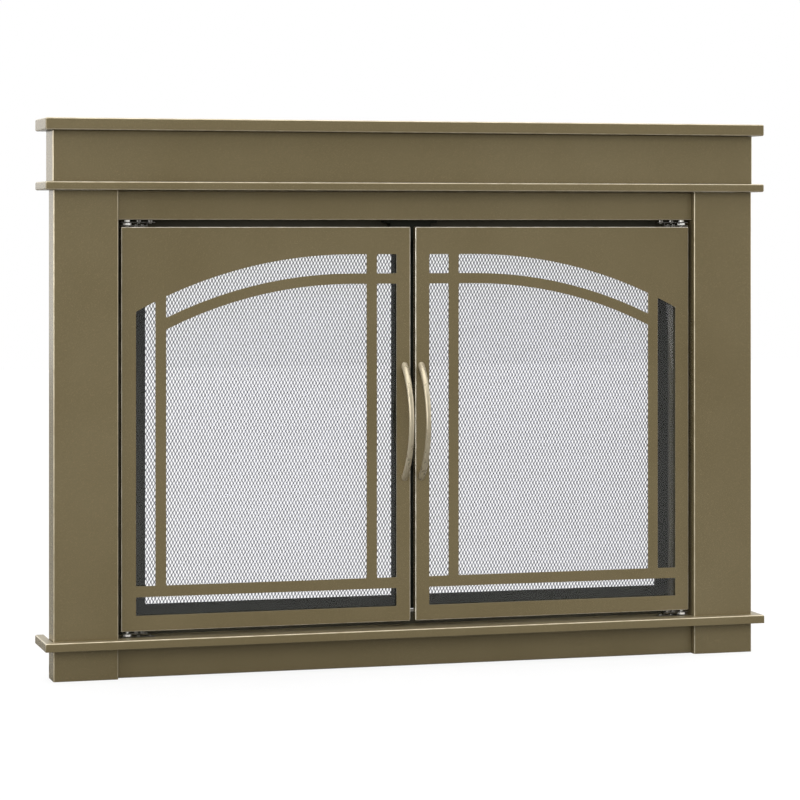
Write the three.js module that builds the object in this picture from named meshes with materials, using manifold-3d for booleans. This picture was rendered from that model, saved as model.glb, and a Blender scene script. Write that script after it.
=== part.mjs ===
// Fireplace glass door: a mantel-shaped surround that stands on the hearth, two doors with an
// arched window-pane face over clear glass, and two mesh gates behind the glass.
// Sizes are millimetres. +X is to the right as seen from the room, -Y faces the room, +Z is up.
// Pieces are drawn with the floor at z = 0, the middle of the surround at x = 0 and the front faces
// of the posts at y = 0. The whole then moves forward, so that the origin lies under the base panel.

import * as THREE from 'three';
import { mergeVertices } from 'three/addons/utils/BufferGeometryUtils.js';
import Module from 'manifold-3d';

const wasm = await Module();
wasm.setup();

// ---- Driving sizes: surround ----
const postSpan = 1105;
const postWidth = 96.7;
const postDepth = 44.5;
const baseHeight = 46.5;
const ledgeThickness = 13;
const openingHeight = 619.4;
const headerHeight = 44.1;
const midMouldingThickness = 12.5;
const friezeHeight = 75.5;
const capThickness = 18;
const mouldingProjection = 18;
const mouldingOverhang = 14.3;
const mouldingDepth = 101;
const mouldingCornerRadius = 3;
const friezeOverhang = 1.2;
const friezeDepth = 63;
const railRecess = 11;
const footSlotHeight = 14;
const footSlotWidth = 5;
const footSlotRise = 7;
const footSlotInset = 4;

// ---- Driving sizes: sheet metal ----
const sheet = 1.5;
const bendRadius = 2.5;
const bendSteps = 3;
const backLip = 12;

// ---- Driving sizes: rear sub-frame ----
const gateSideMargin = 23.8;
const gateSillMargin = 17.5;
const gateHeadMargin = 18.9;
const jambFaceWidth = 68;
const rearFlange = 38;
const jambBottom = 20;
const jambHeadDrop = 6;

// ---- Driving sizes: doors ----
const doorRecess = 9.2;
const doorDepth = 12;
const doorSheet = 2;
const doorEdgeRadius = 1.6;
const doorSideGap = 5.9;
const doorTopGap = 10.4;
const doorBottomGap = 8.9;
const doorMeetingGap = 8;
const stileWidth = 22;
const bottomRailHeight = 23.1;
const crownRailHeight = 41.5;
const muntinWidth = 16;
const innerPaneWidth = 31;
const outerPaneWidth = 29.5;
const bottomPaneHeight = 27.6;
const bottomBarHeight = 16.3;
const crownPaneHeight = 29.1;
const archedBarWidth = 15.7;
const archRadius = 691;
const archFlatLength = 93;
const archSteps = 12;
const paneCornerRadius = 1.2;

// ---- Driving sizes: glass, clips and strikes ----
const glassThickness = 4;
const glassLap = 8.3;
const lowerClipDrop = 101.2;
const upperClipRise = 39.8;
const clipWidth = 16;
const clipSheet = 1.2;
const clipBaseInset = 1;
const clipFinger = 6.5;
const screwHeadHeight = 1.8;
const clipScrewRadius = 2.8;
const strikeCentre = 15;
const strikeWidth = 22;
const strikeDrop = 20;
const strikeFoot = 8;

// ---- Driving sizes: knife hinges ----
const pivotInset = 9.8;
const leafWidth = 12;
const leafThickness = 1.2;
const leafSpacing = 5;
const topLeafDrop = 2.7;
const leafCornerRadius = 3;
const frameLeafReach = 41.5;
const frameLeafScrews = [17, 34.5];
const doorLeafReach = 30;
const doorLeafScrews = [13.5, 22.5];
const tabWidth = 8;
const washerRadius = 3.6;
const leafScrewRadius = 2.5;
const leafScrewHeight = 1.3;
const pivotRadius = 2.5;
const pivotHeadRadius = 4.2;
const pivotNutWidth = 11.3;

// ---- Driving sizes: handles ----
const handleInset = 9.3;
const handleFootSpan = 169;
const handleReach = 39;
const handleWidth = 8;
const handleThickness = 7;
const handleFootSwell = 0.4;
const handleOverrun = 0.12;
const handleCentreHeight = 303.7;
const handleSides = 12;
const handleSteps = 18;
const handleScrewRadius = 2;
const handleScrewHeadRadius = 3.8;
const handleScrewReach = 4.5;
const handleScrewInset = 2;

// ---- Driving sizes: mesh gates ----
const gateDepth = 7;
const gateRecess = 2.2;
const gateSheet = 1.5;
const gateEdgeRadius = 1.2;
const gateStileWidth = 23;
const gateRailHeight = 22;
const gateMeetingGap = 2;
const gateSideGap = 2;
const gateEndGap = 5;
const gatePivotInset = 6;
const gatePinRadius = 2.4;
const gateCollarRadius = 4.2;
const gateBracketThickness = 2;
const gateBracketLength = 20;
const gateBracketDepth = 12;
const netThickness = 1.2;
const netInset = 1;
const netColumns = 9;
const netRows = 7;
const strandWidth = 3;
const knobHeight = 300;
const knobRadius = 7;
const knobNeckRadius = 3;
const knobProjection = 13;

// ---- Driving sizes: catch and fixings ----
const catchWidth = 64;
const catchDepth = 18;
const catchHeight = 30;
const catchEar = 10;
const catchEarHeight = 4;
const clampPosition = 230;
const clampWidth = 30;
const clampReach = 27;
const clampRise = 43;
const clampBoltSetback = 23;
const clampEndMargin = 2;
const floorBracketPosition = 300;
const floorBracketWidth = 35;
const floorBracketRise = 58;
const floorBracketBolt = 33;
const anchorSlotLength = 16;
const anchorSlotWidth = 7;
const bracketSheet = 2.5;
const boltRadius = 3;
const boltHeadRadius = 5;
const boltHeadHeight = 1.2;
const boltNutWidth = 10;
const boltNutHeight = 4;
const boltTip = 1;

// ---- Clearances ----
const seam = 0.3;
const ledgePocketGap = 0.4;
const holeClearance = 0.4;

// ---- Derived places ----
const ledgeBottom = baseHeight;
const ledgeTop = ledgeBottom + ledgeThickness;
const headerBottom = ledgeTop + openingHeight;
const midMouldingBottom = headerBottom + headerHeight;
const friezeBottom = midMouldingBottom + midMouldingThickness;
const capBottom = friezeBottom + friezeHeight;
const halfSpan = postSpan / 2;
const halfOpening = halfSpan - postWidth;
const mouldingBack = mouldingDepth - mouldingProjection;
const halfMoulding = halfSpan + mouldingOverhang;
const subFrameFront = postDepth + seam;
const halfGateOpening = halfOpening - gateSideMargin;
const gateOpeningBottom = ledgeTop + gateSillMargin;
const gateOpeningTop = headerBottom - gateHeadMargin;
const jambTop = midMouldingBottom - jambHeadDrop;
const doorWidth = halfOpening - doorSideGap - doorMeetingGap / 2;
const doorHeight = openingHeight - doorTopGap - doorBottomGap;
const doorBottom = ledgeTop + doorBottomGap;
const doorHingeX = halfOpening - doorSideGap - pivotInset;
const doorHingeY = doorRecess + doorDepth / 2;
const clipHeights = {
  lower: handleCentreHeight - handleFootSpan / 2 - lowerClipDrop,
  upper: handleCentreHeight + handleFootSpan / 2 + upperClipRise,
};
const gateWidth = halfGateOpening - gateSideGap - gateMeetingGap / 2;
const gateHeight = gateOpeningTop - gateOpeningBottom - 2 * gateEndGap;
const gateBottom = gateOpeningBottom + gateEndGap;
const gateHingeX = halfGateOpening - gateSideGap - gatePivotInset;
const gateHingeY = subFrameFront + gateRecess + gateDepth / 2;

// ---- Finishes ----
const bronzePaint = { color: 0x6f6447, roughness: 0.42, metalness: 0.55 };
const blackPaint = { color: 0x1d1d1b, roughness: 0.6, metalness: 0.2 };
const netPaint = { color: 0x3a3a39, roughness: 0.55, metalness: 0.4 };
const zincPlate = { color: 0xb8b5aa, roughness: 0.32, metalness: 0.9 };
const satinMetal = { color: 0xa3967c, roughness: 0.3, metalness: 0.9 };
const clearGlass = { color: 0xdfe7e3, roughness: 0.04, metalness: 0, transparent: true, opacity: 0.25 };
const catchPlastic = { color: 0x25231f, roughness: 0.7, metalness: 0 };

const sideNames = { '-1': 'left', 1: 'right' };
const sides = [-1, 1];

// ---- Joining, cutting and naming ----
function toSolid(geometry) {
  const bare = geometry.clone();
  bare.deleteAttribute('normal');
  bare.deleteAttribute('uv');
  const merged = mergeVertices(bare, 1e-4);
  const vertProperties = new Float32Array(merged.attributes.position.array);
  const triVerts = new Uint32Array(merged.index.array);
  return new wasm.Manifold(new wasm.Mesh({ numProp: 3, vertProperties, triVerts }));
}

function toGeometry(solid) {
  const mesh = solid.getMesh();
  const geometry = new THREE.BufferGeometry();
  geometry.setAttribute('position', new THREE.BufferAttribute(mesh.vertProperties, 3));
  geometry.setIndex(new THREE.BufferAttribute(mesh.triVerts, 1));
  return geometry;
}

function joined(...geometries) {
  return toGeometry(geometries.map(toSolid).reduce((total, next) => total.add(next)));
}

function cut(geometry, ...tools) {
  return toGeometry(tools.map(toSolid).reduce((rest, tool) => rest.subtract(tool), toSolid(geometry)));
}

function part(name, geometry, finish) {
  const faceted = geometry.index ? geometry.toNonIndexed() : geometry;
  faceted.computeVertexNormals();
  const mesh = new THREE.Mesh(faceted, new THREE.MeshStandardMaterial(finish));
  mesh.name = name;
  return mesh;
}

function placed(group, x, y, z, turn = [0, 0, 0]) {
  group.position.set(x, y, z);
  group.rotation.set(...turn);
  return group;
}

// ---- Outlines ----
function polygon(points) {
  const corners = points.map(([x, y]) => new THREE.Vector2(x, y));
  return new THREE.Shape(THREE.ShapeUtils.area(corners) < 0 ? corners.reverse() : corners);
}

function rectangle(x0, y0, x1, y1) {
  return polygon([[x0, y0], [x1, y0], [x1, y1], [x0, y1]]);
}

function range(count) {
  return Array.from({ length: count }, (_, index) => index);
}

function arcPoints(centreX, centreY, radius, start, sweep, steps) {
  return range(steps + 1).map((k) => {
    const angle = start + sweep * k / steps;
    return [centreX + radius * Math.cos(angle), centreY + radius * Math.sin(angle)];
  });
}

// Rounds the corners of a closed outline; a third value of 0 keeps a point sharp.
function filleted(points, radius, steps = 2) {
  return polygon(points.flatMap(([x, y, round = 1], index) => {
    if (!round) return [[x, y]];
    const corner = new THREE.Vector2(x, y);
    const toward = (point) => new THREE.Vector2(point[0], point[1]).sub(corner).normalize();
    const before = toward(points.at(index - 1));
    const after = toward(points[(index + 1) % points.length]);
    const half = Math.acos(before.dot(after)) / 2;
    const centre = before.clone().add(after).normalize().multiplyScalar(radius / Math.sin(half)).add(corner);
    const from = before.multiplyScalar(radius / Math.tan(half)).add(corner).sub(centre);
    const to = after.multiplyScalar(radius / Math.tan(half)).add(corner).sub(centre);
    const sweep = Math.atan2(from.cross(to), from.dot(to));
    return arcPoints(centre.x, centre.y, radius, from.angle(), sweep, steps);
  }));
}

function roundedRectangle(x0, y0, x1, y1, radius, steps = 2) {
  return filleted([[x0, y0], [x1, y0], [x1, y1], [x0, y1]], radius, steps);
}

function hexagon(x, y, acrossFlats) {
  return polygon(arcPoints(x, y, acrossFlats / Math.sqrt(3), 0, 5 * Math.PI / 3, 5));
}

// Section of a folded sheet. The corners run along its outer face with the metal on their left,
// every fold turns left, and each fold is an arc.
function foldedSection(corners) {
  const points = corners.map(([x, y]) => new THREE.Vector2(x, y));
  const outer = [];
  const inner = [];
  points.forEach((here, index) => {
    const isEnd = index === 0 || index === points.length - 1;
    const from = points[Math.max(index - 1, 0)];
    const along = (index === 0 ? points[1].clone().sub(here) : here.clone().sub(from)).normalize();
    const left = new THREE.Vector2(-along.y, along.x);
    if (isEnd) {
      outer.push([here.x, here.y]);
      inner.push([here.x + left.x * sheet, here.y + left.y * sheet]);
      return;
    }
    const next = points[index + 1].clone().sub(here).normalize();
    const sweep = Math.atan2(along.cross(next), along.dot(next));
    const setback = bendRadius * Math.tan(sweep / 2);
    const centre = here.clone().addScaledVector(along, -setback).addScaledVector(left, bendRadius);
    const start = Math.atan2(-left.y, -left.x);
    outer.push(...arcPoints(centre.x, centre.y, bendRadius, start, sweep, bendSteps));
    inner.push(...arcPoints(centre.x, centre.y, bendRadius - sheet, start, sweep, bendSteps));
  });
  return polygon([...outer, ...inner.reverse()]);
}

// ---- Extrusions along the three axes ----
// Outline in plan (x, y), raised from z0.
function upright(shape, z0, height) {
  return new THREE.ExtrudeGeometry(shape, { depth: height, bevelEnabled: false }).translate(0, 0, z0);
}

// Outline seen from the room (x, z), from y0 back.
function facing(shape, y0, depth) {
  return new THREE.ExtrudeGeometry(shape, { depth, bevelEnabled: false })
    .rotateX(Math.PI / 2).translate(0, y0 + depth, 0);
}

// Section in side view (y, z), along x from x0.
function lengthwise(shape, x0, length) {
  const axes = [new THREE.Vector3(0, 1, 0), new THREE.Vector3(0, 0, 1), new THREE.Vector3(1, 0, 0)];
  return new THREE.ExtrudeGeometry(shape, { depth: length, bevelEnabled: false })
    .applyMatrix4(new THREE.Matrix4().makeBasis(...axes)).translate(x0, 0, 0);
}

// Extrusion along z from z0 whose upper and lower edges are rounded.
function roundEdged(shape, z0, height, radius) {
  const edges = { bevelEnabled: true, bevelThickness: radius, bevelSize: radius, bevelOffset: -radius,
    bevelSegments: bendSteps, depth: height - 2 * radius };
  return new THREE.ExtrudeGeometry(shape, edges).translate(0, 0, z0 + radius);
}

function block(x0, y0, z0, x1, y1, z1) {
  return new THREE.BoxGeometry(x1 - x0, y1 - y0, z1 - z0)
    .translate((x0 + x1) / 2, (y0 + y1) / 2, (z0 + z1) / 2);
}

// Round bar standing on z0.
function upstanding(x, y, z0, radius, height, facets = 12) {
  return new THREE.CylinderGeometry(radius, radius, height, facets)
    .rotateX(Math.PI / 2).translate(x, y, z0 + height / 2);
}

// Round bar lying along y, from y0 back.
function lying(x, z, y0, radius, length, facets = 12) {
  return new THREE.CylinderGeometry(radius, radius, length, facets).translate(x, y0 + length / 2, z);
}

// ---- Surround ----
// Channel with lips in plan, open at the back.
function lippedChannel(x0, x1, depth) {
  return foldedSection(
    [[x0 + backLip, depth], [x0, depth], [x0, 0], [x1, 0], [x1, depth], [x1 - backLip, depth]]);
}

// Hollow slab of folded sheet. Its underside is open only where the pieces below hide it.
function slabMoulding(z0, thickness) {
  const outline = roundedRectangle(
    -halfMoulding, -mouldingProjection, halfMoulding, mouldingBack, mouldingCornerRadius);
  const lip = railRecess + sheet + seam;
  const hollow = block(-halfMoulding + sheet, -mouldingProjection + sheet, z0 + sheet,
    halfMoulding - sheet, mouldingBack - sheet, z0 + thickness - sheet);
  const mouth = block(-halfSpan + lip, lip, z0 - sheet, halfSpan - lip, mouldingBack - lip, z0 + 2 * sheet);
  return cut(roundEdged(outline, z0, thickness, bendRadius), hollow, mouth);
}

// Plan of the ledge: a nose in front of the posts, a shelf between them and a return past each.
function ledgePlan(inset) {
  const front = -mouldingProjection + inset;
  const nose = -ledgePocketGap - inset;
  const back = mouldingBack - inset;
  const shelfBack = postDepth - seam - inset;
  const shelfEnd = halfOpening - ledgePocketGap - inset;
  const returnInner = halfSpan + ledgePocketGap + inset;
  const returnOuter = halfMoulding - inset;
  const right = [[returnOuter, front], [returnOuter, back], [returnInner, back],
    [returnInner, nose], [shelfEnd, nose], [shelfEnd, shelfBack]];
  const left = right.map(([x, y]) => [-x, y]).reverse();
  return polygon([...right, ...left]);
}

// Folded tray with its flanges down; only its upper edges are rounded.
function ledgeTray() {
  const hidden = 2 * bendRadius;
  const full = roundEdged(ledgePlan(0), ledgeBottom - hidden, ledgeThickness + hidden, bendRadius);
  const below = block(-postSpan, -mouldingDepth, ledgeBottom - 2 * hidden,
    postSpan, mouldingDepth, ledgeBottom);
  const hollow = upright(ledgePlan(sheet), ledgeBottom - hidden, ledgeThickness + hidden - sheet);
  return cut(full, below, hollow);
}

function post(side) {
  const x0 = side < 0 ? -halfSpan : halfOpening;
  const channel = upright(lippedChannel(x0, x0 + postWidth, postDepth), 0, midMouldingBottom - seam);
  const slotBack = postDepth - footSlotInset;
  const slotOutline = roundedRectangle(slotBack - footSlotWidth, footSlotRise,
    slotBack, footSlotRise + footSlotHeight, 0.4 * footSlotWidth);
  const slot = lengthwise(slotOutline, side * halfSpan - 2 * sheet, 4 * sheet);
  return cut(channel, slot);
}

// Channel between the posts, open at the back.
function crossRail(z0, z1) {
  const section = foldedSection([[postDepth, z1], [railRecess, z1], [railRecess, z0], [postDepth, z0]]);
  return lengthwise(section, -halfOpening + seam, 2 * (halfOpening - seam));
}

function friezePanel() {
  const half = halfSpan + friezeOverhang;
  return upright(lippedChannel(-half, half, friezeDepth), friezeBottom + seam, friezeHeight - 2 * seam);
}

function surround() {
  return new THREE.Group().add(
    part('top_cap', slabMoulding(capBottom, capThickness), bronzePaint),
    part('frieze_panel', friezePanel(), bronzePaint),
    part('mid_moulding', slabMoulding(midMouldingBottom, midMouldingThickness), bronzePaint),
    part('header_rail', crossRail(headerBottom, midMouldingBottom - seam), bronzePaint),
    part('left_post', post(-1), bronzePaint),
    part('right_post', post(1), bronzePaint),
    part('bottom_ledge', ledgeTray(), bronzePaint),
    part('base_panel', crossRail(0, ledgeBottom - seam), bronzePaint),
  );
}

// ---- Rear sub-frame: four channels that open away from the gates ----
function rearJamb(side) {
  const right = [[halfGateOpening + rearFlange, mouldingBack], [halfGateOpening, mouldingBack],
    [halfGateOpening, subFrameFront], [halfGateOpening + jambFaceWidth, subFrameFront]];
  const left = right.map(([x, y]) => [-x, y]).reverse();
  return upright(foldedSection(side > 0 ? right : left), jambBottom, jambTop - jambBottom);
}

function rearRail(corners) {
  return lengthwise(foldedSection(corners), -halfGateOpening + seam, 2 * (halfGateOpening - seam));
}

function rearTopRail() {
  const rail = rearRail([[subFrameFront, jambTop], [subFrameFront, gateOpeningTop],
    [mouldingBack, gateOpeningTop], [mouldingBack, gateOpeningTop + rearFlange]]);
  const holes = sides.map((side) => upstanding(side * clampPosition, mouldingBack - clampBoltSetback,
    gateOpeningTop - sheet, boltRadius + holeClearance, 3 * sheet));
  return cut(rail, ...holes);
}

function rearBottomRail() {
  const rail = rearRail([[mouldingBack, gateOpeningBottom - rearFlange], [mouldingBack, gateOpeningBottom],
    [subFrameFront, gateOpeningBottom], [subFrameFront, jambBottom]]);
  const holes = sides.map((side) => lying(side * floorBracketPosition, floorBracketBolt,
    subFrameFront - sheet, boltRadius + holeClearance, 3 * sheet));
  return cut(rail, ...holes);
}

function rearSubFrame() {
  return new THREE.Group().add(
    part('rear_left_jamb', rearJamb(-1), blackPaint),
    part('rear_right_jamb', rearJamb(1), blackPaint),
    part('rear_top_rail', rearTopRail(), blackPaint),
    part('rear_bottom_rail', rearBottomRail(), blackPaint),
  );
}

// ---- Fixings that hold the surround in the fireplace ----
// Bent strap of bracket sheet in side view: one leg along y, one up along z, outer corner at (y, z).
function angleSection(y, z, yLeg, zLeg) {
  const inY = Math.sign(yLeg) * bracketSheet;
  return filleted([[y, z], [y + yLeg, z], [y + yLeg, z + bracketSheet], [y + inY, z + bracketSheet, 0],
    [y + inY, z + zLeg], [y, z + zLeg]], 0.4 * bracketSheet);
}

// Strap that passes under the top rail and turns up behind the lintel, with its bolt and nut.
function lintelClamp(side) {
  const x = side * clampPosition;
  const strapTop = gateOpeningTop - seam;
  const strapBottom = strapTop - bracketSheet;
  const back = mouldingBack + clampReach;
  const boltY = mouldingBack - clampBoltSetback;
  const strapFront = boltY - boltHeadRadius - clampEndMargin;
  const strap = lengthwise(angleSection(back, strapBottom, strapFront - back, clampRise),
    x - clampWidth / 2, clampWidth);
  const nutBottom = gateOpeningTop + sheet + seam;
  const boltTop = nutBottom + boltNutHeight + boltTip;
  const head = upstanding(x, boltY, strapBottom - boltHeadHeight, boltHeadRadius, boltHeadHeight);
  const shank = upstanding(x, boltY, strapBottom, boltRadius, boltTop - strapBottom);
  const nut = upright(hexagon(x, boltY, boltNutWidth), nutBottom, boltNutHeight);
  return joined(strap, head, shank, nut);
}

// Angle bolted behind the bottom rail, with an anchor slot in its foot.
function floorBracket(side) {
  const x = side * floorBracketPosition;
  const front = subFrameFront + sheet + seam;
  const foot = mouldingBack + clampReach - front;
  const angle = lengthwise(angleSection(front, 0, foot, floorBracketRise),
    x - floorBracketWidth / 2, floorBracketWidth);
  const slotY = mouldingBack + clampReach / 2;
  const slot = upright(roundedRectangle(x - anchorSlotLength / 2, slotY - anchorSlotWidth / 2,
    x + anchorSlotLength / 2, slotY + anchorSlotWidth / 2, 0.4 * anchorSlotWidth),
  -bracketSheet, 3 * bracketSheet);
  const headBack = subFrameFront - seam;
  const nutFront = front + bracketSheet;
  const boltBack = nutFront + boltNutHeight + boltTip;
  const head = lying(x, floorBracketBolt, headBack - boltHeadHeight, boltHeadRadius, boltHeadHeight);
  const shank = lying(x, floorBracketBolt, headBack - boltHeadHeight / 2, boltRadius,
    boltBack - headBack + boltHeadHeight / 2);
  const nut = facing(hexagon(x, floorBracketBolt, boltNutWidth), nutFront, boltNutHeight);
  return joined(cut(angle, slot), head, shank, nut);
}

// Double magnetic catch under the header rail, just behind the closed doors.
function magnetCatch() {
  const half = catchWidth / 2;
  const top = headerBottom - seam;
  const ear = half + catchEar;
  const front = doorRecess + doorDepth + seam;
  const outline = filleted([[-half, top - catchHeight], [half, top - catchHeight],
    [half, top - catchEarHeight, 0], [ear, top - catchEarHeight], [ear, top],
    [-ear, top], [-ear, top - catchEarHeight], [-half, top - catchEarHeight, 0]], 1.5);
  return facing(outline, front, catchDepth);
}

function fixings() {
  const group = new THREE.Group();
  group.add(part('magnet_catch', magnetCatch(), catchPlastic));
  for (const side of sides) {
    group.add(part(`${sideNames[side]}_lintel_clamp`, lintelClamp(side), zincPlate));
    group.add(part(`${sideNames[side]}_floor_bracket`, floorBracket(side), zincPlate));
  }
  return group;
}

// ---- Knife hinges ----
// Drawn round the pivot axis, midway between the leaves, frame side up and reaching along +x.
const leafInnerFace = (leafSpacing - leafThickness) / 2;
const leafOuterFace = leafInnerFace + leafThickness;
const leafStack = 2 * leafOuterFace;
const hingeEnds = {
  top: { frameWasher: topLeafDrop, doorWasher: doorTopGap - 2 * seam - topLeafDrop - leafStack },
  bottom: { frameWasher: 0, doorWasher: doorBottomGap - 2 * seam - leafStack },
};

// Rounded plate lying above z = leafInnerFace, with washers over it, screw heads under it and an eye.
function leaf(reach, screws, washer) {
  const outline = roundedRectangle(-pivotInset, -leafWidth / 2, reach, leafWidth / 2, leafCornerRadius);
  const plate = upright(outline, leafInnerFace, leafThickness);
  const middle = leafInnerFace + leafThickness / 2;
  const fixingPoints = screws.flatMap((x) => [
    upstanding(x, 0, middle, washerRadius, leafThickness / 2 + washer),
    upstanding(x, 0, leafInnerFace - leafScrewHeight, leafScrewRadius, leafScrewHeight + leafThickness / 2),
  ]);
  const eye = upstanding(0, 0, 0, pivotRadius + holeClearance, 2 * leafOuterFace);
  return cut(joined(plate, ...fixingPoints), eye);
}

function frameLeaf({ frameWasher }) {
  return leaf(frameLeafReach, frameLeafScrews, frameWasher);
}

// Turned over, with a tab at its end that stands up toward the frame leaf.
function doorLeaf({ doorWasher }) {
  const plate = leaf(doorLeafReach, doorLeafScrews, doorWasher).rotateX(Math.PI);
  const tab = block(doorLeafReach - leafThickness, -tabWidth / 2, -leafInnerFace - leafThickness / 2,
    doorLeafReach, tabWidth / 2, leafInnerFace - seam);
  return joined(plate, tab);
}

// Pin through both leaves with a nut between them, and a head where there is room over the frame leaf.
function pivotBolt({ frameWasher, doorWasher }) {
  const headTop = leafOuterFace + frameWasher;
  const head = [[pivotRadius, leafOuterFace + seam], [pivotHeadRadius, leafOuterFace + seam],
    [pivotHeadRadius, headTop - seam], [pivotHeadRadius - seam, headTop]];
  const tip = -leafOuterFace - doorWasher;
  const profile = [[0, tip], [pivotRadius - seam, tip], [pivotRadius, tip + seam],
    ...(frameWasher > 2 * seam ? head : [[pivotRadius, headTop]]), [0, headTop]];
  const shank = new THREE.LatheGeometry(profile.map(([r, z]) => new THREE.Vector2(r, z)), 12)
    .rotateX(Math.PI / 2);
  const nut = upright(hexagon(0, 0, pivotNutWidth), -leafInnerFace + seam, 2 * (leafInnerFace - seam));
  return joined(shank, nut);
}

// Height and turn of a hinge: its leaves reach toward the middle, its frame side faces the frame.
function hingePlace(side, end) {
  const toFrame = seam + hingeEnds[end].frameWasher + leafOuterFace;
  return end === 'top'
    ? { z: headerBottom - toFrame, turn: [0, 0, side < 0 ? 0 : Math.PI] }
    : { z: ledgeTop + toFrame, turn: side < 0 ? [Math.PI, 0, 0] : [0, Math.PI, 0] };
}

function frameHingeParts() {
  const group = new THREE.Group();
  for (const side of sides) {
    for (const [end, sizes] of Object.entries(hingeEnds)) {
      const { z, turn } = hingePlace(side, end);
      const hinge = new THREE.Group().add(
        part(`${sideNames[side]}_${end}_frame_leaf`, frameLeaf(sizes), zincPlate),
        part(`${sideNames[side]}_${end}_pivot_bolt`, pivotBolt(sizes), zincPlate),
      );
      group.add(placed(hinge, side * doorHingeX, doorHingeY, z, turn));
    }
  }
  return group;
}

// ---- Doors: drawn round their own hinge axis, which is the local origin ----
const doorFront = -doorDepth / 2;
const doorBack = doorDepth / 2;
const faceBack = doorFront + doorSheet;
const glassFront = faceBack + seam;
const glassBack = glassFront + glassThickness;

// Local x of a point that lies the given distance from the door's meeting edge.
function acrossDoor(side, fromMeetingEdge) {
  return -side * (doorWidth - pivotInset - fromMeetingEdge);
}

// Shallow pan seen from the room: a flat face with its four edges folded back.
function pan(x0, z0, x1, z1, front, depth, thickness, edgeRadius) {
  const outline = roundedRectangle(x0, z0, x1, z1, edgeRadius);
  const spare = 3 * edgeRadius;
  const full = roundEdged(outline, -front - depth - spare, depth + spare, edgeRadius)
    .rotateX(Math.PI / 2);
  const beyond = block(x0 - depth, front + depth, z0 - depth, x1 + depth, front + 3 * depth, z1 + depth);
  const hollow = block(x0 + thickness, front + thickness, z0 + thickness,
    x1 - thickness, front + 2 * depth, z1 - thickness);
  return cut(full, beyond, hollow);
}

// Height above the door's bottom edge of the arch, lowered by an offset. Beside the meeting edge the
// arch is level; past that it follows a circle.
function archHeight(fromMeetingEdge, offset) {
  const crown = doorHeight - crownRailHeight;
  const beyondFlat = Math.max(fromMeetingEdge - archFlatLength, 0);
  return crown - archRadius + Math.sqrt((archRadius - offset) ** 2 - beyondFlat ** 2);
}

// Points along the arch from one place to another; only the two ends are corners.
function archLine(from, to, offset) {
  const places = range(archSteps + 1).map((k) => from + (to - from) * k / archSteps);
  return places.map((place, k) => [place, archHeight(place, offset), k === 0 || k === archSteps ? 1 : 0]);
}

function squarePane(from, to, bottom, top) {
  return [[from, bottom], [to, bottom], [to, top], [from, top]];
}

// The six panes of one door, measured from its meeting edge and its bottom edge.
function paneOutlines() {
  const inner = [stileWidth, stileWidth + innerPaneWidth];
  const outer = [doorWidth - stileWidth - outerPaneWidth, doorWidth - stileWidth];
  const middle = [inner[1] + muntinWidth, outer[0] - muntinWidth];
  const barBottom = bottomRailHeight + bottomPaneHeight;
  const barTop = barBottom + bottomBarHeight;
  const archedBarDrop = crownPaneHeight + archedBarWidth;
  return [
    squarePane(inner[0], outer[1], bottomRailHeight, barBottom),
    squarePane(...inner, barTop, archHeight(0, archedBarDrop)),
    squarePane(...inner, archHeight(0, crownPaneHeight), archHeight(0, 0)),
    [[middle[0], barTop], [middle[1], barTop], ...archLine(middle[1], middle[0], archedBarDrop)],
    [...archLine(...middle, crownPaneHeight), ...archLine(middle[1], middle[0], 0)],
    [[outer[0], barTop], [outer[1], barTop], ...archLine(outer[1], outer[0], 0)],
  ];
}

function handleScrewHeights() {
  return [-1, 1].map((end) => handleCentreHeight + end * (handleFootSpan / 2 - handleScrewInset));
}

function doorFrame(side) {
  const edges = [acrossDoor(side, 0), acrossDoor(side, doorWidth)];
  const shell = pan(Math.min(...edges), 0, Math.max(...edges), doorHeight,
    doorFront, doorDepth, doorSheet, doorEdgeRadius);
  const panes = paneOutlines().map((outline) => {
    const across = outline.map(([from, height, round]) => [acrossDoor(side, from), height, round]);
    return facing(filleted(across, paneCornerRadius), doorFront - doorSheet, 3 * doorSheet);
  });
  const screwHoles = handleScrewHeights().map((height) => lying(acrossDoor(side, handleInset), height,
    doorFront - doorSheet, handleScrewRadius + holeClearance, 3 * doorSheet));
  return cut(shell, ...panes, ...screwHoles);
}

function doorGlass(side) {
  const lapped = stileWidth - glassLap;
  const edges = [acrossDoor(side, lapped), acrossDoor(side, doorWidth - lapped)];
  const outline = roundedRectangle(Math.min(...edges), bottomRailHeight - glassLap,
    Math.max(...edges), doorHeight - crownRailHeight + glassLap, mouldingCornerRadius);
  return facing(outline, glassFront, glassThickness);
}

// Bent clip on the back of a stile: base on the stile, step past the glass edge, finger over the glass.
function glassClip(side, isMeetingStile, height) {
  const glassEdge = stileWidth - glassLap;
  const baseStart = doorSheet + clipBaseInset;
  const stepBack = glassEdge - seam;
  const fingerFront = glassBack + seam;
  const section = [[baseStart, glassFront], [stepBack, glassFront], [stepBack, fingerFront],
    [glassEdge + clipFinger, fingerFront], [glassEdge + clipFinger, fingerFront + clipSheet],
    [stepBack - clipSheet, fingerFront + clipSheet], [stepBack - clipSheet, glassFront + clipSheet],
    [baseStart, glassFront + clipSheet]];
  const place = (fromEdge) => acrossDoor(side, isMeetingStile ? fromEdge : doorWidth - fromEdge);
  const strip = upright(polygon(section.map(([fromEdge, y]) => [place(fromEdge), y])),
    height - clipWidth / 2, clipWidth);
  const screwPlace = (baseStart + stepBack - clipSheet) / 2;
  const screw = lying(place(screwPlace), height, glassFront + clipSheet / 2, clipScrewRadius,
    clipSheet / 2 + screwHeadHeight);
  return joined(strip, screw);
}

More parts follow.
